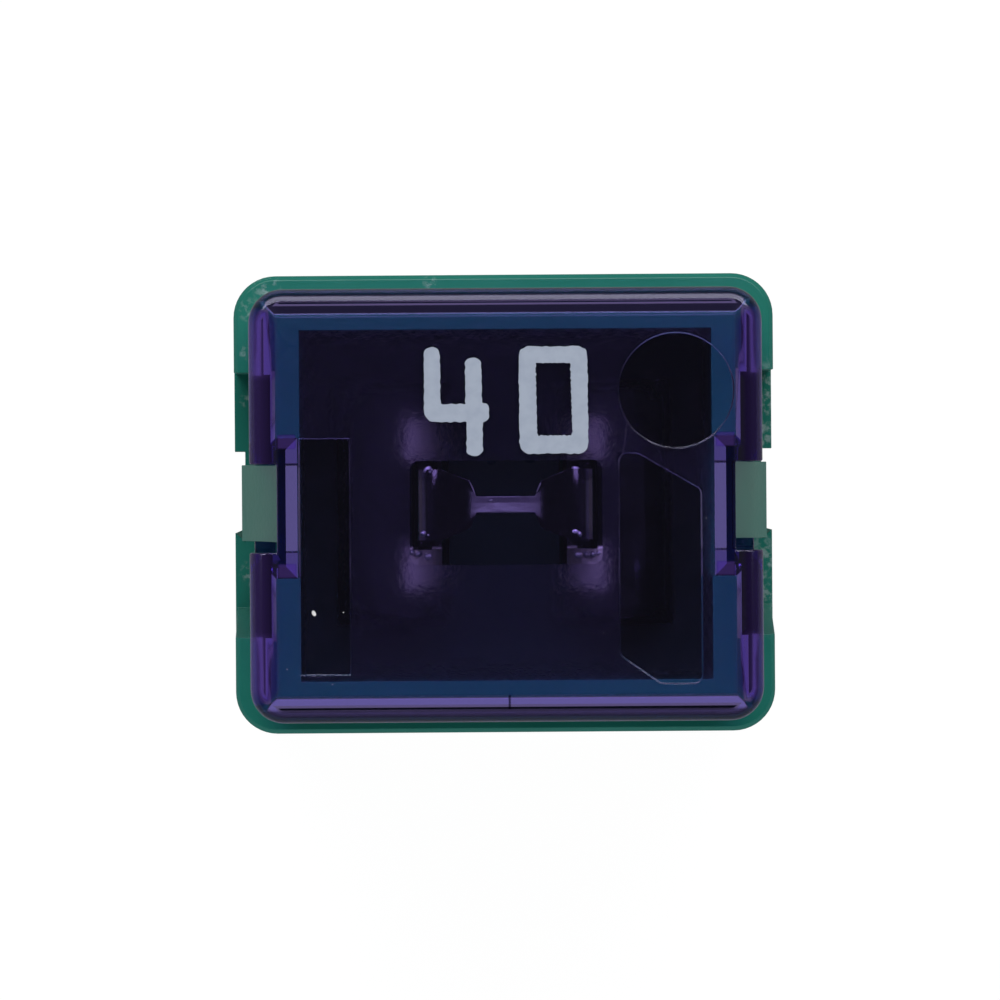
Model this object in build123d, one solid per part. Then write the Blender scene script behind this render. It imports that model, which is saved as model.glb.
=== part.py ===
"""Cartridge fuse with female terminals, in millimetres.

The fuse stands on its blade sockets, with +Z up and the origin in the middle of its bottom face.
X runs along the wide side, from one terminal to the other, and Y along the narrow side.
"""

from build123d import *
import os

# ---- overall ----
total_height = 30.0
body_width = 15.5
body_depth = 13.15
body_corner = 1.2
floor_thickness = 1.6
cover_height = 8.5

# ---- levels, measured from the rim on which the cover sits ----
jog_rise = 2.8
catch_drop = 1.1
chamber_drop = 1.5
ledge_drop = 4.0

# ---- cover ----
rim_step_x = 0.55
rim_step_y = 0.49
cover_corner = 0.95
cover_edge = 0.4
skirt_wall = 0.4
skirt_bevel = 0.33
plate_thickness = 1.3
tongue_wall = 0.6
tongue_width = 7.4
tongue_gap = 0.3
notch_gap = 0.15
notch_shift = 0.06
jog_wall = 0.24
jog_side_wall = 0.4
jog_bevel = 0.33
jog_inset = 0.07

# ---- shallow bare fields in the top of the cover, placed from its sides ----
mark_depth = 0.15
mark_corner = 0.25
round_mark_radius = 1.62
round_mark_in = 2.42
round_mark_down = 2.9
long_mark_in = 1.73
long_mark_up = 1.05
long_mark_width = 2.31
long_mark_length = 6.47
long_mark_slant_x = 1.78
long_mark_slant_y = 1.03
long_mark_cut_x = 1.15
long_mark_cut_y = 0.81
plain_mark_in = 1.4
plain_mark_up = 1.35
plain_mark_width = 1.42
plain_mark_length = 6.63

# ---- polished window under the plate, over the link ----
window_depth = 0.15
window_width = 5.4
window_length = 2.93
window_shift = 0.215
window_corner = 0.27

# ---- housing ----
neck_wall_x = 0.91
neck_wall_y = 0.65
rib_proud = 0.05
rib_margin = 0.1
groove_depth = 0.25
groove_plus_y = 1.53
groove_minus_y = 0.82
groove_slant = 0.25
ramp_run = 0.8
latch_width = 2.18
latch_shift = 0.06
latch_reach = 1.05
latch_rise = 3.4
latch_land = 0.5
rim_chamfer = 0.12
foot_chamfer = 0.4

# ---- blade sockets ----
socket_pitch = 6.4
blade_thickness = 0.8
blade_width = 6.3
blade_gap = 0.35
lead_in = 0.5
cavity_gap = 0.2

# ---- fuse element ----
sheet = 0.4
leaf_margin = 0.15
leaf_gap = 1.3
contact_gap = 0.6
mouth_gap = 1.7
contact_rise = 4.4
contact_length = 5.0
roof_rise = 2.6
roof_bend = 0.3
contact_bend = 1.5
straight_bend = 2.5
link_drop = 1.7
tab_bend = 0.3
tab_width = 2.0
tab_taper = 0.8
shoulder_length = 0.17
shoulder_width = 1.34
bridge_length = 1.66
bridge_width = 0.46
riser_gap = 0.3
riser_slit = 0.08
riser_root = 1.2

# ---- spring clips ----
clip_sheet = 0.3
clip_gap = 0.05
clip_margin = 0.3
clip_foot_rise = 1.0
clip_slot_depth = 2.5

# ---- clearances ----
fit = 0.1
# how far a cut runs out past the part
beyond = 5.0

# ---- worked out: levels ----
rim_height = total_height - cover_height
plate_underside = total_height - plate_thickness
neck_top = plate_underside - fit
jog_height = rim_height + jog_rise
catch_height = rim_height - catch_drop
chamber_floor = rim_height - chamber_drop
ledge_height = rim_height - ledge_drop
link_height = plate_underside - link_drop
roof_height = chamber_floor + roof_rise
contact_height = floor_thickness + contact_rise
straight_height = contact_height + contact_length
clip_foot = contact_height + clip_foot_rise

# ---- worked out: plan ----
cover_width = body_width - 2 * rim_step_x
cover_depth = body_depth - 2 * rim_step_y
neck_width = cover_width - 2 * (skirt_wall + fit)
neck_depth = cover_depth - 2 * (skirt_wall + fit)
neck_bevel = skirt_bevel - fit
neck_side = cover_width / 2 - tongue_wall - fit
chamber_width = neck_width - 2 * neck_wall_x
chamber_depth = neck_depth - 2 * neck_wall_y
notch_width = latch_width + 2 * notch_gap
notch_x = neck_side - jog_inset
jog_x = notch_x - jog_wall
jog_width = notch_width + 2 * jog_side_wall
leaf_width = blade_width + 2 * leaf_margin
socket_x = socket_pitch / 2
riser_x = socket_x - leaf_gap / 2
leaf_outer = leaf_gap / 2 + sheet
slot_end = leaf_gap / 2 - riser_slit
clip_inner = leaf_outer + clip_gap
clip_width = leaf_width - 2 * clip_margin
cavity_width = 2 * (clip_inner + clip_sheet + cavity_gap)
cavity_depth = leaf_width + 2 * cavity_gap


def box(x_low, x_high, y_low, y_high, z_low, z_high):
    """A block between the given coordinates."""
    size = Box(x_high - x_low, y_high - y_low, z_high - z_low)
    return Pos((x_low + x_high) / 2, (y_low + y_high) / 2, (z_low + z_high) / 2) * size


def column(outline, z_low, z_high):
    """A plan outline raised from one level to another."""
    return Pos(0, 0, z_low) * extrude(outline, amount=z_high - z_low)


def both_sides(make):
    """The same feature on the +X side and, mirrored, on the -X side."""
    right = make()
    return right, mirror(right, about=Plane.YZ)


# ---- housing ----


def housing_shell():
    """Body up to the rim, with the thinner neck above it."""
    body = column(RectangleRounded(body_width, body_depth, body_corner), 0, rim_height)
    body = chamfer(body.faces().sort_by(Axis.Z)[0].edges(), foot_chamfer)
    body = chamfer(body.faces().sort_by(Axis.Z)[-1].edges(), rim_chamfer)
    neck = column(Rectangle(neck_width, neck_depth), rim_height - fit, neck_top)
    neck = chamfer(neck.faces().sort_by(Axis.Z)[-1].edges(), neck_bevel)
    return body + neck


def guide_rib():
    """Raised pad on the narrow side, from above the foot up to the ledge."""
    wall = body_width / 2
    half = tongue_width / 2 + fit + rib_margin
    return box(wall - rib_proud, wall + rib_proud, -half, half, foot_chamfer, ledge_height)


def side_groove():
    """Groove down the narrow side under the latch, with one slanting wall."""
    floor = body_width / 2 - groove_depth
    face = body_width / 2 + beyond
    slope = groove_slant / (groove_depth + rib_proud)
    low_outer = -groove_minus_y + slope * (face - body_width / 2 - rib_proud)
    plan = Polyline(
        (floor, groove_plus_y),
        (face, groove_plus_y),
        (face, low_outer),
        (floor, -groove_minus_y - groove_slant),
        close=True,
    )
    return column(make_face(plan), -fit, ledge_height + fit)


def tongue_pocket():
    """Room for the cover's tongue, open to the outside from the ledge up."""
    half = tongue_width / 2 + fit
    return box(neck_side, body_width / 2 + beyond, -half, half, ledge_height, neck_top + fit)


def pocket_ramp():
    """Sloping shoulder from the ledge up to the corner post, outside the tongue."""
    half = tongue_width / 2 + fit
    profile = Polyline(
        (-half + ramp_run, ledge_height),
        (-half, ledge_height),
        (-half, rim_height - rim_chamfer),
        close=True,
    )
    reach = body_width / 2 - cover_width / 2 - fit
    wedge = extrude(Plane.YZ * make_face(profile), amount=reach)
    return Pos(cover_width / 2 + fit, 0, 0) * wedge


def latch():
    """Ramped snap latch on the neck: slopes out downwards and ends in a flat catch face."""
    root = neck_side - fit
    tip = neck_side + latch_reach
    profile = Polyline(
        (root, catch_height),
        (tip, catch_height),
        (tip, catch_height + latch_land),
        (neck_side, catch_height + latch_rise),
        (root, catch_height + latch_rise),
        close=True,
    )
    barb = extrude(Plane.XZ * make_face(profile), amount=latch_width / 2, both=True)
    return Pos(0, latch_shift, 0) * barb


def jog_room():
    """Break in the neck wall where the cover's wall steps inward."""
    half = jog_width / 2 + jog_bevel
    inner = chamber_width / 2 - fit
    room = box(inner, neck_width / 2 + fit, -half, half, jog_height, neck_top + fit)
    return Pos(0, -notch_shift, 0) * room


def terminal_cavity(side):
    """Well for one terminal, with the blade slot and its lead-in through the floor."""
    x = side * socket_x
    well = Rectangle(cavity_width, cavity_depth)
    slot_x = blade_thickness + 2 * blade_gap
    slot_y = blade_width + 2 * blade_gap
    slot = Rectangle(slot_x, slot_y)
    mouth = Rectangle(slot_x + 2 * lead_in, slot_y + 2 * lead_in)
    funnel = loft([Pos(0, 0, -fit) * mouth, Pos(0, 0, lead_in) * slot])
    cut = column(well, floor_thickness, chamber_floor + fit)
    cut += column(slot, 0, floor_thickness + fit)
    cut += funnel
    return Pos(x, 0, 0) * cut


def make_housing():
    shell = housing_shell()
    for rib in both_sides(guide_rib):
        shell += rib
    for groove in both_sides(side_groove):
        shell -= groove
    for pocket in both_sides(tongue_pocket):
        shell -= pocket
    for ramp in both_sides(pocket_ramp):
        shell += ramp
    for barb in both_sides(latch):
        shell += barb
    for room in both_sides(jog_room):
        shell -= room
    shell -= column(Rectangle(chamber_width, chamber_depth), chamber_floor, neck_top + fit)
    for side in (-1, 1):
        shell -= terminal_cavity(side)
    return shell


# ---- cover ----


def cover_shell():
    """Plate and skirt, open below, with a bevel between the plate and the thin skirt."""
    outer = column(
        RectangleRounded(cover_width, cover_depth, cover_corner), rim_height, total_height
    )
    outer = fillet(outer.faces().sort_by(Axis.Z)[-1].edges(), cover_edge)
    inside = Rectangle(neck_width + 2 * fit, neck_depth + 2 * fit)
    room = column(inside, rim_height - fit, plate_underside)
    return outer - chamfer(room.faces().sort_by(Axis.Z)[-1].edges(), skirt_bevel)


def tongue():
    """The thicker part of the skirt that reaches down round the latch, with the catch bar below."""
    half = tongue_width / 2
    low = ledge_height + tongue_gap
    return box(neck_side + fit, cover_width / 2, -half, half, low, plate_underside + fit)


def jog():
    """Block that carries the wall inward behind the notch, with a bevel up to the plate."""
    outer = neck_side + 2 * fit
    centre = (jog_x + outer) / 2
    wall = Rectangle(outer - jog_x, jog_width)
    flare = Rectangle(outer - jog_x + 2 * jog_bevel, jog_width + 2 * jog_bevel)
    block = column(wall, jog_height + fit, plate_underside + fit)
    start = Pos(0, 0, plate_underside - jog_bevel) * wall
    bevel = loft([start, Pos(0, 0, plate_underside) * flare])
    return Pos(centre, -notch_shift, 0) * (block + bevel)


def notch():
    """Opening for the latch, from the catch bar up through the plate."""
    half = notch_width / 2
    side = cover_width / 2 + beyond
    opening = box(notch_x, side, -half, half, catch_height - fit, total_height + beyond)
    return Pos(0, -notch_shift, 0) * opening


def round_mark():
    x = cover_width / 2 - round_mark_in
    y = cover_depth / 2 - round_mark_down
    return Pos(x, y) * Circle(round_mark_radius)


def long_mark():
    """Upright field with its top sloping towards the side and one bottom corner cut off."""
    right = cover_width / 2 - long_mark_in
    left = right - long_mark_width
    low = -cover_depth / 2 + long_mark_up
    high = low + long_mark_length
    outline = Polyline(
        (left, high),
        (right - long_mark_slant_x, high),
        (right, high - long_mark_slant_y),
        (right, low),
        (left + long_mark_cut_x, low),
        (left, low + long_mark_cut_y),
        close=True,
    )
    face = make_face(outline)
    return fillet(face.vertices(), mark_corner)


def plain_mark():
    x = -cover_width / 2 + plain_mark_in + plain_mark_width / 2
    y = -cover_depth / 2 + plain_mark_up + plain_mark_length / 2
    return Pos(x, y) * Rectangle(plain_mark_width, plain_mark_length)


def window_outline():
    return Pos(0, -window_shift) * RectangleRounded(window_width, window_length, window_corner)


def make_cover():
    shell = cover_shell()
    for part in both_sides(tongue) + both_sides(jog):
        shell += part
    for cut in both_sides(notch):
        shell -= cut
    for mark in (round_mark(), long_mark(), plain_mark()):
        shell -= column(mark, total_height - mark_depth, total_height + fit)
    shell -= column(window_outline(), plate_underside - fit, plate_underside + window_depth)
    return shell


# ---- fuse element ----


def folded_sheet(points, bends, thickness, width):
    """A strip folded along a path in the XZ plane, thickened to the left of the path."""
    path = FilletPolyline(*points, radius=bends)
    face = make_face(offset(path, amount=thickness, side=Side.LEFT, closed=True))
    return extrude(Plane.XZ * face, amount=width / 2, both=True)


def leaf_pair():
    """Two contact leaves under one roof: straight, pinched towards the blade, then flared."""
    half = leaf_gap / 2
    up = [
        (-mouth_gap / 2, floor_thickness - fit),
        (-contact_gap / 2, contact_height),
        (-half, straight_height),
        (-half, roof_height - sheet),
    ]
    down = [(-x, z) for x, z in reversed(up)]
    side_bends = [contact_bend, straight_bend, roof_bend]
    leaves = folded_sheet(up + down, side_bends + side_bends[::-1], sheet, leaf_width)
    return leaves - column(Rectangle(cavity_width, cavity_depth), 0, floor_thickness)


def terminal():
    """Leaf pair with its roof cut away round the riser."""
    leaves = leaf_pair()
    half = tab_width / 2 + riser_gap
    low = roof_height - riser_root
    leaves -= box(-leaf_outer - fit, -slot_end, -half, half, low, roof_height + fit)
    return Pos(socket_x, 0, 0) * leaves


def waist():
    """Plan of the metal cut away on one side of the link."""
    edge = tab_width / 2
    bridge_end = bridge_length / 2
    shoulder = bridge_end + shoulder_length
    taper_end = shoulder + tab_taper
    right = [
        (taper_end, edge),
        (shoulder, shoulder_width / 2),
        (bridge_end, bridge_width / 2),
    ]
    left = [(-x, y) for x, y in reversed(right)]
    outside = [(-taper_end, edge + fit), (taper_end, edge + fit)]
    return make_face(Polyline(*right, *left, *outside, close=True))


def link():
    """Risers, tabs and the necked bridge, folded from one strip."""
    inner = riser_x - sheet
    root = roof_height - riser_root - sheet
    top = link_height - sheet
    points = [(-inner, root), (-inner, top), (inner, top), (inner, root)]
    strip = folded_sheet(points, tab_bend, sheet, tab_width)
    cut = column(waist(), link_height - 2 * sheet, link_height + sheet)
    return strip - cut - mirror(cut, about=Plane.XZ)


def make_fuse_element():
    element = link()
    for part in both_sides(terminal):
        element += part
    return element


# ---- spring clips ----


def spring_clip():
    """Spring-steel saddle over the +X terminal, slotted for the riser."""
    roof = roof_height + clip_gap
    lean = (leaf_gap - contact_gap) / 2 / contact_length
    foot = clip_inner - lean * (straight_height - clip_foot)
    up = [(-foot, clip_foot), (-clip_inner, straight_height), (-clip_inner, roof)]
    down = [(-x, z) for x, z in reversed(up)]
    roof_radius = roof_bend + sheet + clip_gap
    bends = [straight_bend, roof_radius, roof_radius, straight_bend]
    clip = folded_sheet(up + down, bends, clip_sheet, clip_width)
    half = tab_width / 2 + riser_gap
    reach = clip_inner + clip_sheet + fit
    top = roof + clip_sheet + fit
    clip -= box(-reach, -slot_end, -half, half, roof - clip_slot_depth, top)
    return Pos(socket_x, 0, 0) * clip


# ---- write each piece ----

os.makedirs("parts", exist_ok=True)
export_step(make_housing(), "parts/housing.step")
export_step(make_cover(), "parts/cover.step")
export_step(make_fuse_element(), "parts/fuse_element.step")
right_clip, left_clip = both_sides(spring_clip)
export_step(left_clip, "parts/left_spring_clip.step")
export_step(right_clip, "parts/right_spring_clip.step")
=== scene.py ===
import math

import bmesh
import bpy
import numpy as np
from mathutils import Matrix, Vector
from mathutils.geometry import tessellate_polygon


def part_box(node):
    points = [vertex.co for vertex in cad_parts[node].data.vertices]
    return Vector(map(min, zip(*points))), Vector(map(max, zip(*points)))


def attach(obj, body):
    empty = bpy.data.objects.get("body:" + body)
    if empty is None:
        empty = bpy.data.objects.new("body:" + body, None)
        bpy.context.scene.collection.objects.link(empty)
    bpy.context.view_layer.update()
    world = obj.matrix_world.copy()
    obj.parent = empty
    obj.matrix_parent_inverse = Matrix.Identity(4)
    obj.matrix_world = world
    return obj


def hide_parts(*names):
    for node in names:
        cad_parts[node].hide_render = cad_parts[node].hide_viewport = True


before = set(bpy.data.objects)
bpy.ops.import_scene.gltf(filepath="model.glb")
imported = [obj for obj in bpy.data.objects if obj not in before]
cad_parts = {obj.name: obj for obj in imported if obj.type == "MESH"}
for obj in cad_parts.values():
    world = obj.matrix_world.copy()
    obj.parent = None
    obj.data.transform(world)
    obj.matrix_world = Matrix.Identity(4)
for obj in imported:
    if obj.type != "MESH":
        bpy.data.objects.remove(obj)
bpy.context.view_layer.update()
mm = 0.001

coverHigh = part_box("cover")[1]
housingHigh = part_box("housing")[1]
coverTop = coverHigh.z
plateThickness = 1.3 * mm
plateUnderside = coverTop - plateThickness
print("frame loaded, cover top at", round(coverTop / mm, 2), "mm")


# shading helpers
def newMaterial(name):
    # a material whose node tree holds its output only
    material = bpy.data.materials.new(name)
    material.use_nodes = True
    tree = material.node_tree
    tree.nodes.clear()
    out = tree.nodes.new("ShaderNodeOutputMaterial")
    return material, tree, out


def addNode(tree, kind, **values):
    # a value named like an input goes to that input, any other to the node itself
    node = tree.nodes.new(kind)
    for key, value in values.items():
        if key in node.inputs:
            node.inputs[key].default_value = value
        else:
            setattr(node, key, value)
    return node


def mathNode(tree, operation, first, second=None, third=None):
    # one operation on up to three sockets or numbers
    node = tree.nodes.new("ShaderNodeMath")
    node.operation = operation
    for index, value in enumerate((first, second, third)):
        if value is None:
            continue
        if isinstance(value, (int, float)):
            node.inputs[index].default_value = value
        else:
            tree.links.new(value, node.inputs[index])
    return node.outputs[0]


def product(tree, *values):
    # all values multiplied together, from left to right
    total = values[0]
    for value in values[1:]:
        total = mathNode(tree, "MULTIPLY", total, value)
    return total


def unsigned(tree, value, less=None):
    # the value without its sign, less an amount if one is given
    bare = mathNode(tree, "ABSOLUTE", value)
    return bare if less is None else mathNode(tree, "SUBTRACT", bare, less)


def offFrom(tree, value, middle):
    # how far the value is from the middle, either way
    return unsigned(tree, mathNode(tree, "SUBTRACT", value, middle))


def awayFrom(tree, x, y, middleX, middleY):
    # the square root of the sum of the two squared distances
    dx = mathNode(tree, "POWER", mathNode(tree, "SUBTRACT", x, middleX), 2.0)
    dy = mathNode(tree, "POWER", mathNode(tree, "SUBTRACT", y, middleY), 2.0)
    return mathNode(tree, "SQRT", mathNode(tree, "ADD", dx, dy))


def threeParts(tree, vector):
    # the vector's parts along X, Y and Z
    split = tree.nodes.new("ShaderNodeSeparateXYZ")
    tree.links.new(vector, split.inputs[0])
    return split.outputs["X"], split.outputs["Y"], split.outputs["Z"]


def objectPlace(tree):
    # the place on the piece, whole and as its three parts
    place = tree.nodes.new("ShaderNodeTexCoord").outputs["Object"]
    return place, *threeParts(tree, place)


def noise(tree, place, scale, detail=3.0, rough=0.5):
    # soft noise between 0 and 1, with scale in bumps a metre
    node = tree.nodes.new("ShaderNodeTexNoise")
    node.inputs["Scale"].default_value = scale
    node.inputs["Detail"].default_value = detail
    node.inputs["Roughness"].default_value = rough
    tree.links.new(place, node.inputs["Vector"])
    return node.outputs["Fac"]


def remap(tree, value, low, high, newLow, newHigh):
    # newLow + (value - low) / (high - low) * (newHigh - newLow), held between the two new ends
    node = tree.nodes.new("ShaderNodeMapRange")
    node.inputs["From Min"].default_value = low
    node.inputs["From Max"].default_value = high
    node.inputs["To Min"].default_value = newLow
    node.inputs["To Max"].default_value = newHigh
    tree.links.new(value, node.inputs["Value"])
    return node.outputs[0]


def blendColour(tree, amount, first, second):
    # first * (1 - amount) + second * amount
    node = tree.nodes.new("ShaderNodeMix")
    node.data_type = "RGBA"
    sockets = [socket for socket in node.inputs if socket.type == "RGBA"]
    for socket, colour in zip(sockets, (first, second)):
        if isinstance(colour, tuple):
            socket.default_value = (*colour, 1)
        else:
            tree.links.new(colour, socket)
    tree.links.new(amount, node.inputs[0])
    return [socket for socket in node.outputs if socket.type == "RGBA"][0]


def blendShaders(tree, amount, first, second):
    # first * (1 - amount) + second * amount, for what two shaders give back
    node = tree.nodes.new("ShaderNodeMixShader")
    tree.links.new(amount, node.inputs[0])
    tree.links.new(first.outputs[0], node.inputs[1])
    tree.links.new(second.outputs[0], node.inputs[2])
    return node.outputs[0]


def addBump(tree, shader, height, distance):
    # the shading normal leans by the slope of height times distance
    node = tree.nodes.new("ShaderNodeBump")
    node.inputs["Strength"].default_value = 1.0
    node.inputs["Distance"].default_value = distance
    tree.links.new(height, node.inputs["Height"])
    tree.links.new(node.outputs[0], shader.inputs["Normal"])


# green moulded plastic
greenPlastic = dict(
    deep=(0.009, 0.148, 0.108),
    pale=(0.015, 0.186, 0.139),
    gloss=0.35,
    roughness=(0.27, 0.36),
    cloudScale=260.0,
    cloudLevels=(0.3, 0.7),
    grainScale=5200.0,
    grainHeight=0.006 * mm,
    # the rooms inside get painted shade, darker walls where little light falls: half width, half length,
    # the heights where their walls turn dark, and pale again, and the soft edge
    roomHalf=(5.85 * mm, 4.98 * mm),
    roomDarkens=(8 * mm, 16 * mm),
    roomPales=(27.0 * mm, 28.4 * mm),
    roomEdge=0.05 * mm,
    roomShade=(0.004, 0.030, 0.024),
    # pale scuffs on the rim, and wide pale patches on the right ribs that are painted light on their
    # upward faces, each with its place and reach in mm
    scuffsAndLitPatches=[
        (-6.75, 6.20, 0.50), (-7.25, 5.60, 0.40), (-7.40, 4.4, 0.25), (-7.35, 3.0, 0.35),
        (-2.1, 6.35, 0.25), (-7.30, -2.0, 0.45), (7.45, 3.1, 1.2), (7.45, 2.0, 1.1),
        (7.45, -1.8, 1.1), (7.45, -2.9, 1.1),
    ],
    scuffAndLitColour=(0.34, 0.44, 0.43),
    # the share of their reach where they are whole, how strongly they show, the noise that breaks them
    # up with its levels, and the heights and upward tilts between which they begin
    scuffCore=0.2,
    scuffShare=0.6,
    scuffNoise=(5500.0, 0.49, 0.61),
    scuffHeight=(16.5 * mm, 17.5 * mm),
    scuffTilt=(0.1, 0.5),
)


def scuffAndLitMask(tree, place, x, y, z, values):
    # nearness to the closest place, times the share of fine noise over its lower level, times one ramp
    # in height and one in how far the face looks up, so that the rib patches are painted light on faces
    # that look up
    near = None
    for left, front, reach in values["scuffsAndLitPatches"]:
        away = awayFrom(tree, x, y, left * mm, front * mm)
        part = remap(tree, away, values["scuffCore"] * reach * mm, reach * mm, 1, 0)
        near = part if near is None else mathNode(tree, "MAXIMUM", near, part)
    scale, low, full = values["scuffNoise"]
    rubs = remap(tree, noise(tree, place, scale, 4.0, 0.65), low, full, 0, values["scuffShare"])
    facing = threeParts(tree, tree.nodes.new("ShaderNodeNewGeometry").outputs["Normal"])
    high = remap(tree, z, *values["scuffHeight"], 0, 1)
    upward = remap(tree, facing[2], *values["scuffTilt"], 0, 1)
    return product(tree, near, rubs, mathNode(tree, "MULTIPLY", high, upward))


def roomShadeMask(tree, x, y, z, values):
    # painted shade: 1 inside the rooms' outline, times one ramp up and one ramp down in height
    halfWidth, halfLength = values["roomHalf"]
    outside = mathNode(tree, "MAXIMUM", unsigned(tree, x, halfWidth), unsigned(tree, y, halfLength))
    within = remap(tree, outside, 0, values["roomEdge"], 1, 0)
    rising = remap(tree, z, *values["roomDarkens"], 0, 1)
    falling = remap(tree, z, *values["roomPales"], 1, 0)
    return product(tree, within, mathNode(tree, "MULTIPLY", rising, falling))


def makeGreenPlastic(values):
    # colour and gloss drift in soft clouds, the rooms' walls are darkened by painted shade, and a fine
    # grain is a bump
    material, tree, out = newMaterial("greenPlastic")
    place, x, y, z = objectPlace(tree)
    shader = addNode(tree, "ShaderNodeBsdfPrincipled")
    shader.inputs["Specular IOR Level"].default_value = values["gloss"]
    cloud = noise(tree, place, values["cloudScale"])
    skin = blendColour(tree, cloud, values["deep"], values["pale"])
    # painted shade on the rooms' walls
    skin = blendColour(tree, roomShadeMask(tree, x, y, z, values), skin, values["roomShade"])
    # pale scuffs on the rim, and painted light on the right ribs' upward faces
    skin = blendColour(tree, scuffAndLitMask(tree, place, x, y, z, values), skin, values["scuffAndLitColour"])
    tree.links.new(skin, shader.inputs["Base Color"])
    rough = remap(tree, cloud, *values["cloudLevels"], *values["roughness"])
    tree.links.new(rough, shader.inputs["Roughness"])
    addBump(tree, shader, noise(tree, place, values["grainScale"], 2.0), values["grainHeight"])
    tree.links.new(shader.outputs[0], out.inputs["Surface"])
    return material


# clear violet plastic
violetPlastic = dict(
    absorbColour=(0.18, 0.02, 0.64),
    absorbDensity=690.0,
    tint=(0.94, 0.92, 0.98),
    gleam=(0.76, 0.75, 1.0),
    ior=1.58,
    polish=0.03,
    frost=0.25,
    veil=0.002,
    # what lamps send straight through to the pieces below
    lampPass=(0.95, 0.95, 0.98),
    # the top's outer edge gets painted shade, a dark ring: between which depths under the top it fades,
    # its colour, width and blur
    topFade=(0.5 * mm, 0.36 * mm),
    rimShadeColour=(0.12, 0.11, 0.13),
    rimShadeWidth=(0.32 * mm, 0.42 * mm),
    rimBlur=0.15,
    # the side skirts get painted light at the top, a diffuse violet layer: colour, how much light it
    # stops, the mask's level where its colour is whole, width inward, and where it ends along Y
    paintedSkirtLight=(0.30, 0.16, 0.80),
    skirtLightShare=0.16,
    skirtLightFull=0.15,
    skirtLightWidth=0.85 * mm,
    skirtLightEnd=(5.1 * mm, 5.6 * mm),
    # it is thinner along the tongues, which end here, and on the right, past this far from the middle:
    # the shares left there
    tongueEnd=(3.52 * mm, 3.72 * mm),
    skirtLightTongue=0.55,
    skirtLightRight=0.6,
    skirtLightTurn=1 * mm,
    # patches of this painted light lie over the ends of the walls behind the notches: in mm, middle and
    # half size along X, middle and half size along Y, and share
    skirtLightPatches=[(6.15, 0.27, 1.81, 0.21, 0.6)],
    patchEdge=0.05 * mm,
    # a short witness mark over the front skirt: place along X, half width, and where it starts and ends
    witness=(0.06 * mm, 0.045 * mm, -5.30 * mm, -5.75 * mm),
    witnessEdge=0.05 * mm,
    witnessTint=(0.03, 0.03, 0.04),
    # the film of frost left in the fields: noise scale, its levels, and how much is left at each
    filmNoise=(900.0, 0.42, 0.62),
    fieldFrost=(0.10, 0.40),
    fieldEdge=0.04 * mm,
    frostGrainScale=5000.0,
    frostGrainHeight=0.01 * mm,
    # places on the cover, in mm from its middle, that are polished on the underside too
    roundField=(4.78, 3.19, 1.62),
    plainField=[(-5.8, -4.73), (-4.38, -4.73), (-4.38, 1.9), (-5.8, 1.9)],
    longField=[
        (3.16, -4.225), (3.16, 1.435), (3.69, 1.435), (5.47, 0.405), (5.47, -5.035), (4.31, -5.035),
    ],
)


def insideHalfPlanes(tree, x, y, corners):
    # greatest distance outside any side of a convex outline, in metres
    points = np.array(corners) * mm
    middle = points.mean(axis=0)
    worst = None
    for first, second in zip(points, np.roll(points, -1, axis=0)):
        along = (second - first) / np.linalg.norm(second - first)
        normal = np.array([along[1], -along[0]])
        if normal @ (middle - first) > 0:
            normal = -normal
        part = mathNode(tree, "MULTIPLY", x, float(normal[0]))
        part = mathNode(tree, "MULTIPLY_ADD", y, float(normal[1]), part)
        part = mathNode(tree, "SUBTRACT", part, float(normal @ first))
        worst = part if worst is None else mathNode(tree, "MAXIMUM", worst, part)
    return worst


def frostShare(tree, place, x, y, values):
    # the frost attribute, times 1 outside the three fields or the patchy film left inside them
    frost = addNode(tree, "ShaderNodeAttribute", attribute_name="frost").outputs["Fac"]
    field = insideHalfPlanes(tree, x, y, values["plainField"])
    field = mathNode(tree, "MINIMUM", field, insideHalfPlanes(tree, x, y, values["longField"]))
    middleX, middleY, radius = (value * mm for value in values["roundField"])
    circle = mathNode(tree, "SUBTRACT", awayFrom(tree, x, y, middleX, middleY), radius)
    field = mathNode(tree, "MINIMUM", field, circle)
    outside = remap(tree, field, -values["fieldEdge"], values["fieldEdge"], 0, 1)
    scale, low, high = values["filmNoise"]
    film = remap(tree, noise(tree, place, scale, 2.0), low, high, *values["fieldFrost"])
    return product(tree, frost, mathNode(tree, "MAXIMUM", outside, film))


def patchShare(tree, place, middle, half, edge, share):
    # share within half of the middle on either side of zero, fading out over the edge
    off = offFrom(tree, mathNode(tree, "ABSOLUTE", place), middle)
    return remap(tree, off, half - edge, half, share, 0)


def paintedSkirtLightMask(tree, x, y, side, high, values):
    # painted light: a ramp inward from the side faces, times one along Y, one step at the tongues' ends,
    # one from left to right and one in height, or a patch where that is more
    length = unsigned(tree, y)
    inward = remap(tree, side, 0, values["skirtLightWidth"], 1, 0)
    along = remap(tree, length, *values["skirtLightEnd"], 1, 0)
    corner = remap(tree, length, *values["tongueEnd"], values["skirtLightTongue"], 1)
    across = remap(tree, x, -values["skirtLightTurn"], values["skirtLightTurn"], 1, values["skirtLightRight"])
    paintedSkirtLight = product(tree, inward, high, along, corner, across)
    for middleX, halfX, middleY, halfY, share in values["skirtLightPatches"]:
        wide = patchShare(tree, x, middleX * mm, halfX * mm, values["patchEdge"], share)
        long = patchShare(tree, y, middleY * mm, halfY * mm, values["patchEdge"], 1)
        paintedSkirtLight = mathNode(tree, "MAXIMUM", paintedSkirtLight, product(tree, wide, long, high))
    return paintedSkirtLight


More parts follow.
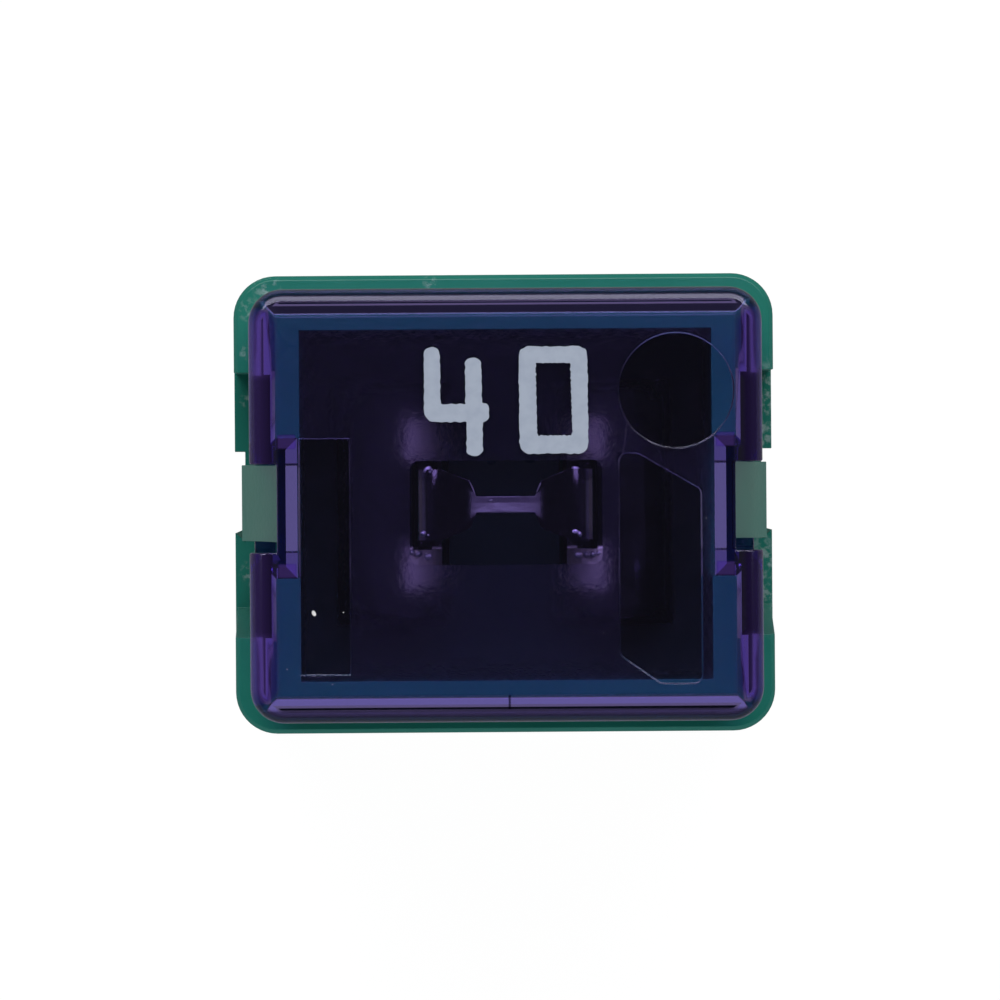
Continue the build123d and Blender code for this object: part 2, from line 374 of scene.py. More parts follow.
def witnessMask(tree, x, y, high, values):
    # 1 within half width of the line and between its ends
    middle, halfWidth, start, stop = values["witness"]
    thin = remap(tree, offFrom(tree, x, middle), 0.5 * halfWidth, halfWidth, 1, 0)
    begun = remap(tree, y, start, start - values["witnessEdge"], 0, 1)
    going = remap(tree, y, stop + values["witnessEdge"], stop, 1, 0)
    return product(tree, thin, begun, going, high)


def makeVioletPlastic(values):
    # clear plastic that takes colour from the way light travels in it; roughness is the polish, more by
    # the share of frost and of the rim's painted shade ring, and the skirts' painted light takes its
    # share from what the plastic lets through
    material, tree, out = newMaterial("violetPlastic")
    place, x, y, z = objectPlace(tree)
    shader = addNode(tree, "ShaderNodeBsdfPrincipled")
    shader.inputs["IOR"].default_value = values["ior"]
    shader.inputs["Specular Tint"].default_value = (*values["gleam"], 1)
    frost = frostShare(tree, place, x, y, values)
    # distance in from the skirt's outer face, on the top only
    side = mathNode(tree, "SUBTRACT", coverHigh.x, unsigned(tree, x))
    inward = mathNode(tree, "MINIMUM", side, mathNode(tree, "SUBTRACT", coverHigh.y, unsigned(tree, y)))
    low, full = values["topFade"]
    high = remap(tree, z, coverTop - low, coverTop - full, 0, 1)
    # painted shade: a dark ring along the top's outer edge, which is also rougher
    rimShade = mathNode(tree, "MULTIPLY", remap(tree, inward, *values["rimShadeWidth"], 1, 0), high)
    blur = remap(tree, frost, 0, 1, values["polish"], values["frost"])
    blur = mathNode(tree, "MULTIPLY_ADD", rimShade, values["rimBlur"], blur)
    tree.links.new(blur, shader.inputs["Roughness"])
    skin = blendColour(tree, rimShade, values["tint"], values["rimShadeColour"])
    skin = blendColour(tree, witnessMask(tree, x, y, high, values), skin, values["witnessTint"])
    # painted light on the skirts' tops and over the notch walls
    paintedSkirtLight = paintedSkirtLightMask(tree, x, y, side, high, values)
    skin = blendColour(tree, remap(tree, paintedSkirtLight, 0, values["skirtLightFull"], 0, 1), skin, values["paintedSkirtLight"])
    tree.links.new(skin, shader.inputs["Base Color"])
    clear = mathNode(tree, "MULTIPLY_ADD", paintedSkirtLight, -values["skirtLightShare"], 1.0 - values["veil"])
    tree.links.new(clear, shader.inputs["Transmission Weight"])
    grain = noise(tree, place, values["frostGrainScale"], 2.0)
    addBump(tree, shader, mathNode(tree, "MULTIPLY", frost, grain), values["frostGrainHeight"])
    lampPass = addNode(tree, "ShaderNodeBsdfTransparent")
    lampPass.inputs["Color"].default_value = (*values["lampPass"], 1)
    toLamp = addNode(tree, "ShaderNodeLightPath").outputs["Is Shadow Ray"]
    tree.links.new(blendShaders(tree, toLamp, shader, lampPass), out.inputs["Surface"])
    absorb = addNode(tree, "ShaderNodeVolumeAbsorption")
    absorb.inputs["Color"].default_value = (*values["absorbColour"], 1)
    absorb.inputs["Density"].default_value = values["absorbDensity"]
    tree.links.new(absorb.outputs[0], out.inputs["Volume"])
    return material


# the flat underside lies within the slack of its level and looks straight down, and the inner slopes
# lie beyond a place along X, reach so far under the plate and lean both down and sideways
frostZone = dict(
    slack=0.03 * mm,
    straightDown=-0.9,
    slopeBeyond=6.2 * mm,
    slopeReach=1.2 * mm,
    slopeLean=0.3,
    slopeFrost=0.5,
)


def markFrost(mesh, values):
    # 1 on the flat underside of the plate, part of it on the inner slopes at the sides, 0 elsewhere
    count = len(mesh.polygons)
    centre = np.empty(count * 3)
    normal = np.empty(count * 3)
    mesh.polygons.foreach_get("center", centre)
    mesh.polygons.foreach_get("normal", normal)
    level = np.abs(centre[2::3] - plateUnderside) < values["slack"]
    frosted = (level & (normal[2::3] < values["straightDown"])).astype(np.float32)
    slope = (normal[2::3] < -values["slopeLean"]) & (np.abs(normal[0::3]) > values["slopeLean"])
    slope &= np.abs(centre[0::3]) > values["slopeBeyond"]
    slope &= centre[2::3] > plateUnderside - values["slopeReach"]
    frosted[slope] = values["slopeFrost"]
    layer = mesh.attributes.new("frost", "FLOAT", "FACE")
    layer.data.foreach_set("value", frosted)


# metals
# a worked place is a box in mm: half width from, to, then length from, to, and height from, to
platedCopper = dict(
    name="platedCopper",
    colour=(0.20, 0.19, 0.20),
    dull=(0.14, 0.13, 0.14),
    bright=(0.44, 0.43, 0.43),
    roughness=(0.08, 0.12),
    worked=0.42,
    dents=0.014 * mm,
    places=[],
    # the bright bridge: half length, half width, half its soft edge, and its flare for each length past
    # its end, where it fades out
    bridge=(0.80 * mm, 0.25 * mm, 0.05 * mm, 0.9),
    bridgeFade=(0.08 * mm, 0.32 * mm),
    # its streaks run along X: stretch, noise scale, levels of the noise, and brightness at each
    streakNoise=(0.22, 7000.0, 0.38, 0.62),
    streaks=(0.7, 1.9),
    # the bridge is pressed in: length place of the groove's bottom, half width, half length, slope
    groove=(0.05 * mm, 0.30 * mm, 1.05 * mm, 0.09),
)
springSteel = dict(
    name="springSteel",
    colour=(0.12, 0.12, 0.13),
    dull=(0.08, 0.08, 0.09),
    bright=(1.0, 0.94, 0.82),
    roughness=(0.15, 0.20),
    worked=0.55,
    dents=0.06 * mm,
    # the clips' worked places are rougher and dented, and their bright colour is a painted highlight
    # where the clips' bends catch the lamp
    places=[(1.7, 2.85, 1.25, 2.45, 20, 24), (1.7, 2.85, -2.45, -1.25, 20, 24)],
    bridge=None,
    groove=None,
)
# painted glints: near-white rough metal for the beads
paintedGlintSpots = dict(
    name="paintedGlintSpots",
    colour=(0.97, 0.95, 0.96),
    dull=(0.93, 0.90, 0.93),
    roughness=(0.44, 0.50),
    places=[],
    bridge=None,
    groove=None,
)
# what all sheet has: rolling lines along Z, clouds, dents, and the soft edge of a worked place
sheetGrain = dict(
    lineStretch=0.04,
    lineScale=6000.0,
    lineLevels=(0.3, 0.7),
    lineHeight=0.0006 * mm,
    cloudScale=700.0,
    dentScale=4200.0,
    placeEdge=(0.06 * mm, 0.04 * mm),
)


def stretchedNoise(tree, place, stretch, scale, detail):
    # noise whose bumps are longer by one over the stretch along an axis
    mapping = addNode(tree, "ShaderNodeMapping")
    mapping.inputs["Scale"].default_value = stretch
    tree.links.new(place, mapping.inputs["Vector"])
    return noise(tree, mapping.outputs[0], scale, detail)


def workedAndHighlightMask(tree, x, y, z, places, edge):
    # 1 inside the worked places on both sides, 0 outside, with a short soft edge
    side = unsigned(tree, x)
    within, beyond = edge
    mask = None
    for place in places:
        part = None
        for axis, low, high in zip((side, y, z), place[0::2], place[1::2]):
            middle, half = (low + high) / 2 * mm, (high - low) / 2 * mm
            away = offFrom(tree, axis, middle)
            inside = remap(tree, away, half - within, half + beyond, 1, 0)
            part = inside if part is None else mathNode(tree, "MULTIPLY", part, inside)
        mask = part if mask is None else mathNode(tree, "MAXIMUM", mask, part)
    return mask


def bridgeMask(tree, x, y, values):
    # 1 on the bridge, fading at its ends, where its half width grows with the distance past them
    halfLength, halfWidth, edge, flare = values["bridge"]
    past = mathNode(tree, "MAXIMUM", unsigned(tree, x, halfLength), 0.0)
    away = mathNode(tree, "MULTIPLY_ADD", past, -flare, unsigned(tree, y))
    across = remap(tree, away, halfWidth - edge, halfWidth + edge, 1, 0)
    return mathNode(tree, "MULTIPLY", across, remap(tree, past, *values["bridgeFade"], 1, 0))


def grooveHeight(tree, x, y, height, values):
    # height less slope times what the distance from the groove's bottom leaves of its half width; the
    # slope runs out towards the groove's ends
    bottom, halfWidth, halfLength, slope = values["groove"]
    away = offFrom(tree, y, bottom)
    depth = mathNode(tree, "MAXIMUM", mathNode(tree, "SUBTRACT", halfWidth, away), 0.0)
    fade = remap(tree, unsigned(tree, x), 0.5 * halfLength, halfLength, -slope, 0)
    return mathNode(tree, "MULTIPLY_ADD", depth, fade, height)


def makeMetal(values):
    # dark sheet: rolling lines and faint clouds, bright, coarse and dented by the share of the mask where
    # it is worked; on the clips that brightness is a painted highlight
    grain = sheetGrain
    material, tree, out = newMaterial(values["name"])
    place, x, y, z = objectPlace(tree)
    lines = stretchedNoise(tree, place, (1, 1, grain["lineStretch"]), grain["lineScale"], 2.0)
    cloud = noise(tree, place, grain["cloudScale"])
    shader = addNode(tree, "ShaderNodeBsdfPrincipled", Metallic=1.0)
    skin = blendColour(tree, cloud, values["dull"], values["colour"])
    smooth = remap(tree, lines, *grain["lineLevels"], *values["roughness"])
    height = mathNode(tree, "MULTIPLY", lines, grain["lineHeight"])
    if values["places"] or values["bridge"]:
        if values["bridge"]:
            stretch, scale, low, high = values["streakNoise"]
            streaks = stretchedNoise(tree, place, (stretch, 1, 1), scale, 3.0)
            mask = bridgeMask(tree, x, y, values)
            share = mathNode(tree, "MULTIPLY", mask, remap(tree, streaks, low, high, *values["streaks"]))
        else:
            mask = share = workedAndHighlightMask(tree, x, y, z, values["places"], grain["placeEdge"])
        skin = blendColour(tree, share, skin, values["bright"])
        smooth = mathNode(tree, "MULTIPLY_ADD", mask, values["worked"] - values["roughness"][1], smooth)
        dents = mathNode(tree, "MULTIPLY", mask, noise(tree, place, grain["dentScale"], 2.0))
        height = mathNode(tree, "MULTIPLY_ADD", dents, values["dents"], height)
    if values["groove"]:
        height = grooveHeight(tree, x, y, height, values)
    tree.links.new(skin, shader.inputs["Base Color"])
    tree.links.new(smooth, shader.inputs["Roughness"])
    addBump(tree, shader, height, 1.0)
    tree.links.new(shader.outputs[0], out.inputs["Surface"])
    return material


# white print
printInk = dict(
    name="printInk",
    colour=(0.355, 0.405, 0.49),
    thin=(0.32, 0.367, 0.455),
    grain=(3000.0, 0.35, 0.6),
    roughness=0.6,
)
# pale dust
paleDust = dict(
    name="paleDust",
    colour=(0.80, 0.80, 0.78),
    thin=(0.60, 0.60, 0.60),
    grain=(9000.0, 0.35, 0.6),
    roughness=0.6,
)


def makeDryCoat(values):
    # flat colour with slight thin spots: thin and full colour blended by the noise between its levels
    material, tree, out = newMaterial(values["name"])
    place = objectPlace(tree)[0]
    shader = addNode(tree, "ShaderNodeBsdfPrincipled", Roughness=values["roughness"])
    scale, low, full = values["grain"]
    grain = remap(tree, noise(tree, place, scale), low, full, 0, 1)
    skin = blendColour(tree, grain, values["thin"], values["colour"])
    tree.links.new(skin, shader.inputs["Base Color"])
    tree.links.new(shader.outputs[0], out.inputs["Surface"])
    return material


# pieces from the frame, with softened edges
pieceList = dict(
    housing=dict(rounding=0.07 * mm, slot="green_plastic"),
    cover=dict(rounding=0.12 * mm, slot="clear_violet_plastic"),
    fuse_element=dict(rounding=0.12 * mm, slot="plated_copper"),
    left_spring_clip=dict(rounding=0.05 * mm, slot="spring_steel"),
    right_spring_clip=dict(rounding=0.05 * mm, slot="spring_steel"),
)
# how the cover's edges are told apart, by the place of their middle, and the share of rounding for each
coverEdges = dict(
    outerSlack=0.02 * mm,
    notchFrom=6.3 * mm,
    notchHalf=1.5 * mm,
    fieldDepth=0.2 * mm,
    plateSlack=0.1 * mm,
    wallReach=0.45 * mm,
    endsFrom=4.8 * mm,
    sidesFrom=3.9 * mm,
    shares=dict(skin=0.42, field=0.19, plate=0.9, wall=0.45, sides=0.4),
)
linkEdges = dict(waist=2.0 * mm, above=26.5 * mm, waistShare=1.0, otherShare=0.4)
# faces that turn by less than flat are joined, and an edge that turns by more than crisp is rounded
edgeSetup = dict(
    weld=1e-7,
    flat=math.radians(0.5),
    crisp=math.radians(35),
    segments=3,
    areaWeight=100,
)


def roundingShare(node, middle):
    # how much of the piece's rounding each edge gets, from the place of its middle
    x, y, z = np.abs(middle).T
    if node == "cover":
        values, shares = coverEdges, coverEdges["shares"]
        skin = (x > coverHigh.x - values["outerSlack"]) | (y > coverHigh.y - values["outerSlack"])
        skin |= (x > values["notchFrom"]) & (y < values["notchHalf"])
        field = z > coverTop - values["fieldDepth"]
        atPlate = np.abs(z - plateUnderside) < values["plateSlack"]
        atWall = (z > plateUnderside - values["wallReach"]) & (z <= plateUnderside - values["plateSlack"])
        ends = y > values["endsFrom"]
        sides = (x > values["notchFrom"]) & (y > values["sidesFrom"])
        return np.select(
            [skin, field, atPlate & ends, atWall & ends, (atPlate | atWall) & sides],
            [shares["skin"], shares["field"], shares["plate"], shares["wall"], shares["sides"]], 0.0,
        )
    if node == "fuse_element":
        values = linkEdges
        waist = (x < values["waist"]) & (z > values["above"])
        return np.where(waist, values["waistShare"], values["otherShare"])
    return np.ones(len(x))


def addPiece(name, mesh, material):
    # an object of the mesh at the origin, in the one material
    mesh.materials.append(material)
    piece = bpy.data.objects.new(name, mesh)
    bpy.context.scene.collection.objects.link(piece)
    return piece


def dressedCopy(node, values, material):
    # the node's own faces, joined and cleared of flat triangles, with its crisp edges rounded by the
    # piece's rounding times their share
    shape = bmesh.new()
    shape.from_mesh(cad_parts[node].data)
    bmesh.ops.remove_doubles(shape, verts=shape.verts, dist=edgeSetup["weld"])
    bmesh.ops.dissolve_limit(
        shape, angle_limit=edgeSetup["flat"], verts=shape.verts, edges=shape.edges,
        use_dissolve_boundaries=False,
    )
    turn = np.array([edge.calc_face_angle(0.0) for edge in shape.edges])
    middle = np.array([(edge.verts[0].co + edge.verts[1].co) / 2 for edge in shape.edges])
    crisp = turn > edgeSetup["crisp"]
    share = np.where(crisp, roundingShare(node, middle), 0.0)
    mesh = bpy.data.meshes.new(node + "_dressed")
    shape.to_mesh(mesh)
    shape.free()
    weight = mesh.attributes.new("bevel_weight_edge", "FLOAT", "EDGE")
    weight.data.foreach_set("value", share.astype(np.float32))
    sharp = mesh.attributes.new("sharp_edge", "BOOLEAN", "EDGE")
    sharp.data.foreach_set("value", crisp & (share == 0))
    mesh.polygons.foreach_set("use_smooth", np.ones(len(mesh.polygons), bool))
    if node == "cover":
        markFrost(mesh, frostZone)
    piece = addPiece(node + "_dressed", mesh, material)
    bevel = piece.modifiers.new("roundedEdges", "BEVEL")
    bevel.width = values["rounding"]
    bevel.segments = edgeSetup["segments"]
    bevel.limit_method = "WEIGHT"
    bevel.use_clamp_overlap = node != "cover"
    flats = piece.modifiers.new("flatFaces", "WEIGHTED_NORMAL")
    flats.weight = edgeSetup["areaWeight"]
    flats.keep_sharp = True
    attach(piece, "root")
    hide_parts(node)


# printed number
# corners are in mm from the middle of the cover, each with the radius of its rounding
ratingPrint = dict(
    sunk=0.01 * mm,
    proud=0.012 * mm,
    step=0.03,
    arcPoints=7,
    # its outline is ragged by so many waves, of so many turns round the loop from one end to the other
    ragged=0.011,
    waveCount=8,
    waveTurns=(6, 60),
    four=[
        (-2.05, 4.435, 0.0), (-1.84, 4.435, 0.2), (-1.815, 2.835, 0.06), (-1.125, 2.835, 0.02),
        (-1.13, 4.13, 0.21), (-0.68, 4.13, 0.21), (-0.655, 2.86, 0.05), (-0.47, 2.86, 0.14),
        (-0.47, 2.35, 0.16), (-0.645, 2.33, 0.03), (-0.635, 1.385, 0.22), (-1.1, 1.385, 0.2),
        (-1.1, 2.335, 0.02), (-2.29, 2.335, 0.36), (-2.275, 4.435, 0.2),
    ],
    zeroOuter=[(0.375, 4.435, 0.3), (2.3, 4.435, 0.3), (2.315, 1.43, 0.3), (0.385, 1.43, 0.32)],
    zeroInner=[(0.85, 3.97, 0.06), (1.82, 3.97, 0.06), (1.87, 1.94, 0.08), (0.88, 1.94, 0.08)],
)


def roundedLoop(corners, values):
    # each corner becomes a quadratic curve between its two tangent points, and the loop is walked in
    # even steps
    table = np.array(corners)
    points, radius = table[:, :2], table[:, 2]
    before = np.roll(points, 1, axis=0) - points
    after = np.roll(points, -1, axis=0) - points
    before /= np.linalg.norm(before, axis=1)[:, None]
    after /= np.linalg.norm(after, axis=1)[:, None]
    start = points + before * radius[:, None]
    end = points + after * radius[:, None]
    gone = np.linspace(0, 1, values["arcPoints"])[None, :, None]
    left = 1 - gone
    arcs = left ** 2 * start[:, None] + 2 * gone * left * points[:, None] + gone ** 2 * end[:, None]
    loop = arcs.reshape(-1, 2)
    closed = np.vstack([loop, loop[:1]])
    length = np.concatenate([[0], np.cumsum(np.linalg.norm(np.diff(closed, axis=0), axis=1))])
    count = int(length[-1] / values["step"])
    at = np.linspace(0, length[-1], count, endpoint=False)
    return np.column_stack([np.interp(at, length, closed[:, 0]), np.interp(at, length, closed[:, 1])])


def raggedLoop(loop, values, rng):
    # every point moves along the loop's normal by a sum of waves that close on themselves
    count = len(loop)
    turn = np.arange(count) / count * 2 * np.pi
    along = np.roll(loop, -1, axis=0) - np.roll(loop, 1, axis=0)
    along /= np.linalg.norm(along, axis=1)[:, None]
    normal = np.column_stack([along[:, 1], -along[:, 0]])
    waves = rng.integers(*values["waveTurns"], values["waveCount"])
    phase = rng.uniform(0, 2 * np.pi, values["waveCount"])
    sway = np.sin(turn[:, None] * waves + phase).sum(axis=1)
    shift = sway / np.sqrt(values["waveCount"]) * values["ragged"]
    return loop + normal * shift[:, None]


def printedDigit(name, loops, values, material):
    # loops filled as one flat face, copied down to the underside, with a wall round each loop
    sizes = [len(loop) for loop in loops]
    flat = np.vstack(loops) * mm
    fill = np.array(tessellate_polygon([[Vector((*point, 0)) for point in loop] for loop in loops]))
    total = len(flat)
    top = np.column_stack([flat, np.full(total, coverTop + values["proud"])])
    bottom = np.column_stack([flat, np.full(total, coverTop - values["sunk"])])
    faces = fill.tolist() + (fill[:, ::-1] + total).tolist()
    first = 0
    for count in sizes:
        here = first + np.arange(count)
        after = first + (np.arange(count) + 1) % count
        faces += np.column_stack([here, after, after + total, here + total]).tolist()
        first += count
    shape = bmesh.new()
    mesh = bpy.data.meshes.new(name)
    mesh.from_pydata(np.vstack([top, bottom]).tolist(), [], faces)
    shape.from_mesh(mesh)
    bmesh.ops.recalc_face_normals(shape, faces=shape.faces)
    shape.to_mesh(mesh)
    shape.free()
    digit = addPiece(name, mesh, material)
    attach(digit, "root")


# painted glints: small bright beads at the corners of the link's tabs, along its edges and on the clips,
# set where the metal catches the lamp; the long thin ones along the bridge's edges are painted highlight
# lines
# each is place in mm, then radius along X, along Y and up, and its turn in degrees
beadList = dict(
    link=[
        (-2.20, 1.00, 26.84, 0.13, 0.09, 0.05, 35), (-2.12, 0.94, 26.92, 0.05, 0.04, 0.06, 0),
        (-2.07, 0.99, 26.92, 0.04, 0.03, 0.05, 0),
        (1.98, 1.00, 26.88, 0.12, 0.07, 0.05, -10),
        (-2.33, -0.80, 26.82, 0.09, 0.08, 0.09, 0), (-2.18, -0.85, 26.88, 0.05, 0.04, 0.04, 0),
        (2.08, -0.84, 26.97, 0.09, 0.06, 0.07, -60), (1.95, -0.78, 26.98, 0.10, 0.07, 0.03, 0),
        (-0.94, 0.48, 26.98, 0.24, 0.018, 0.03, 113), (0.94, 0.48, 26.98, 0.20, 0.022, 0.03, 67),
        (-0.96, -0.42, 26.98, 0.20, 0.010, 0.02, 67), (0.96, -0.42, 26.98, 0.20, 0.012, 0.02, 113),
        (-0.10, 0.215, 26.99, 0.62, 0.012, 0.02, 0), (-0.42, 0.12, 26.99, 0.06, 0.025, 0.03, 10),
    ],
    clips=[
        (-2.66, -1.37, 22.98, 0.09, 0.08, 0.11, 0), (-2.47, -1.42, 22.96, 0.12, 0.08, 0.11, 30),
        (-2.22, -1.50, 22.76, 0.14, 0.10, 0.06, 0), (2.10, -1.48, 22.72, 0.12, 0.09, 0.06, 0),
        (2.32, -1.46, 22.93, 0.10, 0.09, 0.12, 0), (2.50, -1.45, 22.96, 0.10, 0.09, 0.12, 0),
        (2.66, -1.43, 22.96, 0.08, 0.06, 0.05, 0),
    ],
)


def beadMesh(name, beads, around=20, rings=10):
    # stretched spheres: cosine and sine of two angles times the three radii, turned about Z
    table = np.array(beads)
    lean = np.linspace(0, np.pi, rings + 1)[1:-1]
    turn = np.arange(around) / around * 2 * np.pi
    belt = np.stack([
        np.sin(lean)[:, None] * np.cos(turn), np.sin(lean)[:, None] * np.sin(turn),
        np.repeat(np.cos(lean)[:, None], around, axis=1),
    ], axis=-1).reshape(-1, 3)
    ball = np.vstack([[0, 0, 1], belt, [0, 0, -1]])
    angle = np.radians(table[:, 6])
    scaled = ball[None] * table[:, None, 3:6]
    across = scaled[..., 0] * np.cos(angle)[:, None] - scaled[..., 1] * np.sin(angle)[:, None]
    along = scaled[..., 0] * np.sin(angle)[:, None] + scaled[..., 1] * np.cos(angle)[:, None]
    points = np.stack([across, along, scaled[..., 2]], axis=-1) + table[:, None, :3]
    step = np.arange(around)
    after = (step + 1) % around
    row = 1 + np.arange(rings - 2)[:, None] * around
    quads = np.stack([row + step, row + around + step, row + around + after, row + after], axis=-1)
    last = 1 + (rings - 2) * around
    cap = np.stack([np.zeros(around, int), 1 + step, 1 + after], axis=-1)
    foot = np.stack([np.full(around, len(ball) - 1), last + after, last + step], axis=-1)
    shift = np.arange(len(table))[:, None, None] * len(ball)
    faces = (quads.reshape(-1, 4)[None] + shift).reshape(-1, 4).tolist()
    faces += (np.vstack([cap, foot])[None] + shift).reshape(-1, 3).tolist()
    mesh = bpy.data.meshes.new(name)
    mesh.from_pydata((points.reshape(-1, 3) * mm).tolist(), [], faces)
    mesh.polygons.foreach_set("use_smooth", np.ones(len(mesh.polygons), bool))
    return mesh


def addBeads(name, beads, material):
    # all beads of the table as one piece
    piece = addPiece(name, beadMesh(name, beads), material)
    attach(piece, "root")


# dust lying on the cover, in the same table form
dustList = [
    (-5.41, -3.00, 30.01, 0.085, 0.055, 0.018, 115), (-4.58, -2.98, 30.0, 0.018, 0.014, 0.01, 0),
    (-6.17, -4.56, 30.0, 0.016, 0.014, 0.01, 0), (-4.9, -4.99, 30.0, 0.016, 0.012, 0.01, 0),
    (5.6, -0.4, 30.0, 0.014, 0.012, 0.01, 0), (2.7, -3.6, 30.0, 0.012, 0.012, 0.01, 0),
]


# stage, light and camera
# the floor lies a hair under the feet, so that the two faces don't share a plane
stageSetup = dict(
    floorSize=1.2,
    drop=0.02 * mm,
    matte=0.8,
    # brightness for the camera, and as metal and glass see it, which is reached so far from the body;
    # nearer in it fades to a painted shadow under the body
    white=1.05,
    mirrored=0.3,
    paintedShadowReach=2 * mm,
    # how much of what they see is this glow, and the rest is the matte square as it is lit
    glowShare=0.93,
)
cameraSetup = dict(
    distance=330 * mm,
    over=(-2.05 * mm, 1.68 * mm),
    aim=(-0.174 * mm, 0.14 * mm),
    roll=-0.4,
    frameWidth=28.01 * mm,
    sensorWidth=36.0,
    nearest=0.01,
    farthest=5.0,
)
# turn about Z in degrees, distance and height in metres, wide side, high side, watts
lampSetup = dict(
    back=(90, 0.37, 0.48, 0.70, 0.40, 3.8),
    front=(270, 0.60, 0.40, 1.1, 0.5, 2.9),
)
# brightness of the room at the horizon in front, at the sides and behind, half way up, and overhead,
# and between which heights, as the sine of the elevation, one passes into the next
roomSetup = dict(
    front=0.47, side=0.33, back=0.04, middle=0.06, overhead=0.03, tint=(0.86, 0.88, 1.2),
    middleFrom=(0.15, 0.35), overheadFrom=(0.80, 0.96),
)


def makeFloor(values):
    # a matte square that also glows: by white for the camera, and for mirror and glass rays by mirrored,
    # ramped up from nothing under the body, a painted shadow for those rays
    half, under = values["floorSize"] / 2, -values["drop"]
    mesh = bpy.data.meshes.new("floor")
    corners = [(-half, -half, under), (half, -half, under), (half, half, under), (-half, half, under)]
    mesh.from_pydata(corners, [], [(0, 1, 2, 3)])
    material, tree, out = newMaterial("paleFloor")
    matte = addNode(tree, "ShaderNodeBsdfDiffuse")
    matte.inputs["Color"].default_value = (values["matte"], values["matte"], values["matte"], 1)
    glow = addNode(tree, "ShaderNodeEmission")
    paths = addNode(tree, "ShaderNodeLightPath")
    mirrored = mathNode(
        tree, "MAXIMUM", paths.outputs["Is Glossy Ray"], paths.outputs["Is Transmission Ray"]
    )
    x, y = objectPlace(tree)[1:3]
    wide, long = unsigned(tree, x, housingHigh.x), unsigned(tree, y, housingHigh.y)
    outside = mathNode(tree, "MAXIMUM", wide, long)
    # painted shadow: no glow under the body for mirror and glass rays
    glowOutsideShadow = remap(tree, outside, 0, values["paintedShadowReach"], 0, values["mirrored"])
    seenWhite = mathNode(tree, "MULTIPLY", paths.outputs["Is Camera Ray"], values["white"])
    level = mathNode(tree, "MAXIMUM", mathNode(tree, "MULTIPLY", mirrored, glowOutsideShadow), seenWhite)
    tree.links.new(level, glow.inputs["Strength"])
    seen = mathNode(tree, "MAXIMUM", mirrored, paths.outputs["Is Camera Ray"])
    seen = mathNode(tree, "MULTIPLY", seen, values["glowShare"])
    tree.links.new(blendShaders(tree, seen, matte, glow), out.inputs["Surface"])
    floor = addPiece("floor", mesh, material)


def blendLevel(tree, amount, first, second):
    # first * (1 - amount) + second * amount
    node = tree.nodes.new("ShaderNodeMix")
    node.data_type = "FLOAT"
    tree.links.new(amount, node.inputs["Factor"])
    tree.links.new(first, node.inputs["A"])
    node.inputs["B"].default_value = second
    return node.outputs["Result"]


def makeWorld(values):
    # a horizon that dims from front to back, a dim band above it and a dark zenith, and white where the
    # camera sees it
    world = bpy.data.worlds.new("softRoom")
    bpy.context.scene.world = world
    world.use_nodes = True
    tree = world.node_tree
    tree.nodes.clear()
    out = tree.nodes.new("ShaderNodeOutputWorld")
    back = tree.nodes.new("ShaderNodeBackground")
    y, z = threeParts(tree, tree.nodes.new("ShaderNodeTexCoord").outputs["Generated"])[1:]
    behind = remap(tree, y, 0, 1, values["side"], values["back"])
    before = remap(tree, y, -1, 0, values["front"] - values["side"], 0)
    horizon = mathNode(tree, "ADD", behind, before)
    up = remap(tree, z, *values["middleFrom"], 0, 1)
    top = remap(tree, z, *values["overheadFrom"], 0, 1)
    level = blendLevel(tree, top, blendLevel(tree, up, horizon, values["middle"]), values["overhead"])
    seen = tree.nodes.new("ShaderNodeLightPath").outputs["Is Camera Ray"]
    tree.links.new(mathNode(tree, "MAXIMUM", level, seen), back.inputs["Strength"])
    tree.links.new(blendColour(tree, seen, values["tint"], (1, 1, 1)), back.inputs["Color"])
    tree.links.new(back.outputs[0], out.inputs["Surface"])


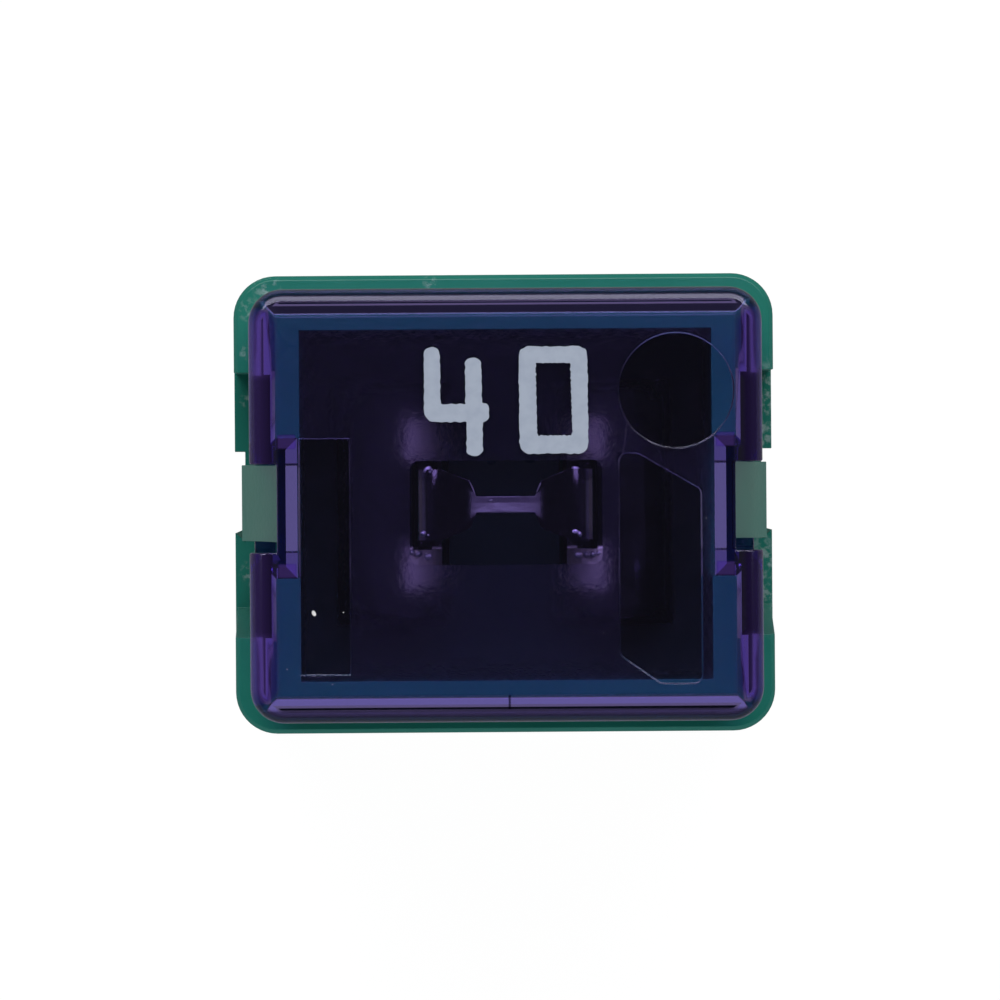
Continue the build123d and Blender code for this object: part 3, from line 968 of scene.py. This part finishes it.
def makeLamps(values):
    # each lamp stands at distance * (cosine, sine) of its turn, at its height, and faces the origin
    for name, (angle, distance, height, wide, high, watts) in values.items():
        turn = math.radians(angle)
        data = bpy.data.lights.new(name + "SoftBox", "AREA")
        data.shape = "RECTANGLE"
        data.size = wide
        data.size_y = high
        data.energy = watts
        lamp = bpy.data.objects.new(name + "SoftBox", data)
        place = Vector((math.cos(turn) * distance, math.sin(turn) * distance, height))
        lamp.location = place
        lamp.rotation_euler = (-place).to_track_quat("-Z", "Y").to_euler()
        # the front lamp only fills, and isn't seen in metal or glass
        lamp.visible_glossy = lamp.visible_transmission = name == "back"
        bpy.context.scene.collection.objects.link(lamp)


def makeCamera(values):
    # the camera looks from over the cover to its aim, and its lens is the sensor's width * distance /
    # the width of the frame
    data = bpy.data.cameras.new("camera")
    camera = bpy.data.objects.new("camera", data)
    bpy.context.scene.collection.objects.link(camera)
    place = Vector((*values["over"], coverTop + values["distance"]))
    target = Vector((*values["aim"], coverTop))
    back = (place - target).normalized()
    roll = math.radians(values["roll"])
    up = Vector((-math.sin(roll), math.cos(roll), 0))
    right = up.cross(back).normalized()
    up = back.cross(right)
    turn = Matrix((right, up, back)).transposed().to_4x4()
    camera.matrix_world = Matrix.Translation(place) @ turn
    data.sensor_width = values["sensorWidth"]
    data.lens = values["sensorWidth"] * values["distance"] / values["frameWidth"]
    data.clip_start = values["nearest"]
    data.clip_end = values["farthest"]
    bpy.context.scene.camera = camera


# build
makeCamera(cameraSetup)
makeWorld(roomSetup)
makeLamps(lampSetup)
makeFloor(stageSetup)
print("stage, lamps and camera ready")

finish = dict(
    housing=makeGreenPlastic(greenPlastic),
    cover=makeVioletPlastic(violetPlastic),
    fuse_element=makeMetal(platedCopper),
)
finish["left_spring_clip"] = finish["right_spring_clip"] = makeMetal(springSteel)
for node, settings in pieceList.items():
    dressedCopy(node, settings, finish[node])
print("pieces dressed:", ", ".join(pieceList))

ink = makeDryCoat(printInk)
rng = np.random.default_rng(40)
digitLoops = [
    raggedLoop(roundedLoop(ratingPrint[key], ratingPrint), ratingPrint, rng)
    for key in ("four", "zeroOuter", "zeroInner")
]
printedDigit("printed_four", digitLoops[:1], ratingPrint, ink)
printedDigit("printed_zero", digitLoops[1:], ratingPrint, ink)
print("number printed")

# painted glints and highlight lines on the link and the clips
glintMetal = makeMetal(paintedGlintSpots)
addBeads("link_glint_beads", beadList["link"], glintMetal)
addBeads("clip_glint_beads", beadList["clips"], glintMetal)
addBeads("dust_specks", dustList, makeDryCoat(paleDust))
print("beads and dust placed")

bpy.context.scene.view_settings.view_transform = "Standard"
